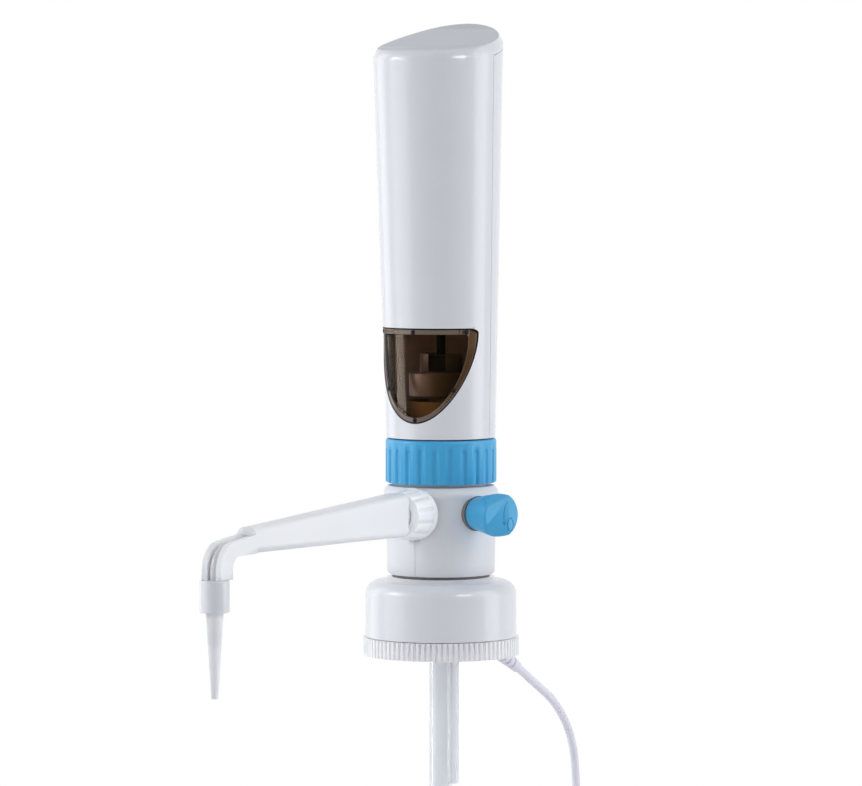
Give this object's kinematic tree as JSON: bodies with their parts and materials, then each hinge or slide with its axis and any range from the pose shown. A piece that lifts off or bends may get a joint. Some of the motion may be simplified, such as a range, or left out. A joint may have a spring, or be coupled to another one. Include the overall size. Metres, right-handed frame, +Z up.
{
  "type": "bottle top dispenser",
  "caption": "Motor-driven bottle top dispenser: flared tower with a smoked window, blue union ring, valve block with knob, wedge-shaped discharge arm, ribbed bottle collar and power cable.",
  "frame": {"origin": "on the dispenser's axis, at the bottom plane of the bottle collar", "axes": "+Z up along the tower, -Y towards the discharge arm and the window (front), +X towards the recirculation knob (right)"},
  "size_m": [0.0759, 0.3795, 0.426],
  "materials": {
    "white_shell": "glossy white moulded ABS",
    "ring_blue": "satin blue moulded plastic",
    "white_nut": "white moulded polypropylene",
    "smoked_lens": "smoked brown clear lens",
    "black_seal": "soft black elastomer",
    "screw_steel": "plain steel",
    "black_metal": "blackened steel",
    "bracket_alloy": "machined aluminium",
    "motor_steel": "motor can in plated steel",
    "nut_brass": "turned brass",
    "dark_plastic": "matt black plastic",
    "board_green": "circuit board with parts",
    "grey_plastic": "grey moulded plastic",
    "piston_white": "white fluoropolymer",
    "barrel_glass": "borosilicate glass",
    "ball_ceramic": "polished ceramic",
    "arm_clear": "translucent white polypropylene",
    "tube_clear": "clear fluoropolymer tube",
    "cable_white": "white PVC cable"
  },
  "bodies": {
    "base": {"ball_stop": "piston_white", "base_housing": "white_shell", "bottle_seat": "piston_white", "bracket_screws": "screw_steel", "cable": "cable_white", "cable_coil": "cable_white", "cable_plug": "dark_plastic", "control_board": "board_green", "cylinder_carrier": "grey_plastic", "cylinder_jacket": "grey_plastic", "discharge_arm": "arm_clear", "discharge_tube": "tube_clear", "filling_tube_upper": "tube_clear", "glass_cylinder": "barrel_glass", "guide_rods": "screw_steel", "intake_seat": "piston_white", "knob_ring": "black_seal", "linear_motor": "motor_steel", "motor_bracket": "bracket_alloy", "nozzle_tip": "arm_clear", "rear_cover_screws": "screw_steel", "return_tube": "tube_clear", "seat_gasket": "black_seal", "strain_relief": "cable_white", "tower_front_shell": "white_shell", "tower_rear_cover": "white_shell", "valve_block_left": "white_shell", "valve_block_right": "white_shell", "valve_core": "piston_white", "window_lens": "smoked_lens", "window_seal": "black_seal", "window_stakes": "black_seal"},
    "piston": {"lead_screw": "black_metal", "rod_head": "black_metal", "guide_carriage": "dark_plastic", "drive_coupling": "grey_plastic", "piston_disc": "grey_plastic", "piston_rod": "piston_white", "piston_seal": "piston_white"},
    "rotor": {"rotor_nut": "nut_brass"},
    "clamp_ring": {"union_ring": "ring_blue"},
    "knob": {"recirculation_knob": "ring_blue", "valve_spindle": "piston_white"},
    "outlet_nut": {"discharge_nut": "white_nut"},
    "tip_collar": {"nozzle_collar": "white_nut"},
    "bottle_ring": {"thread_ring": "white_nut"},
    "suction_ball": {"intake_ball": "ball_ceramic"},
    "outlet_ball": {"discharge_ball": "ball_ceramic"},
    "lower_tube": {"filling_tube_lower": "tube_clear"}
  },
  "joints": [
    {"name": "piston_stroke", "type": "slide", "parent": "base", "child": "piston", "axis": [0, 0, 1], "range_m": [0, 0.028]},
    {"name": "rotor_spin", "type": "hinge", "parent": "base", "child": "rotor", "pos_m": [0, 0, 0.154], "axis": [0, 0, 1], "range_deg": [0, 2530]},
    {"name": "union_ring_turn", "type": "hinge", "parent": "base", "child": "clamp_ring", "pos_m": [0, 0, 0.068], "axis": [0, 0, 1], "range_deg": [0, 270]},
    {"name": "knob_turn", "type": "hinge", "parent": "base", "child": "knob", "pos_m": [0, 0, 0.0505], "axis": [0.9304, -0.3665, 0], "range_deg": [0, 90]},
    {"name": "discharge_nut_turn", "type": "hinge", "parent": "base", "child": "outlet_nut", "pos_m": [0, -0.025, 0.0505], "axis": [0, -1, 0], "range_deg": [0, 270]},
    {"name": "nozzle_collar_turn", "type": "hinge", "parent": "base", "child": "tip_collar", "pos_m": [0, -0.1531, 0.033], "axis": [0, 0, 1], "range_deg": [0, 90]},
    {"name": "bottle_ring_turn", "type": "hinge", "parent": "base", "child": "bottle_ring", "pos_m": [0, 0, 0.003], "axis": [0, 0, 1], "continuous": true},
    {"name": "intake_ball_lift", "type": "slide", "parent": "base", "child": "suction_ball", "axis": [0, 0, 1], "range_m": [0, 0.0012]},
    {"name": "discharge_ball_lift", "type": "slide", "parent": "base", "child": "outlet_ball", "axis": [0, -1, 0], "range_m": [0, 0.0012]},
    {"name": "filling_tube_length", "type": "slide", "parent": "base", "child": "lower_tube", "axis": [0, 0, 1], "range_m": [-0.01, 0.06]}
  ],
  "couplings": [
    {"joint": "rotor_spin", "follows": "piston_stroke", "rad_per_m": 1570.8}
  ]
}
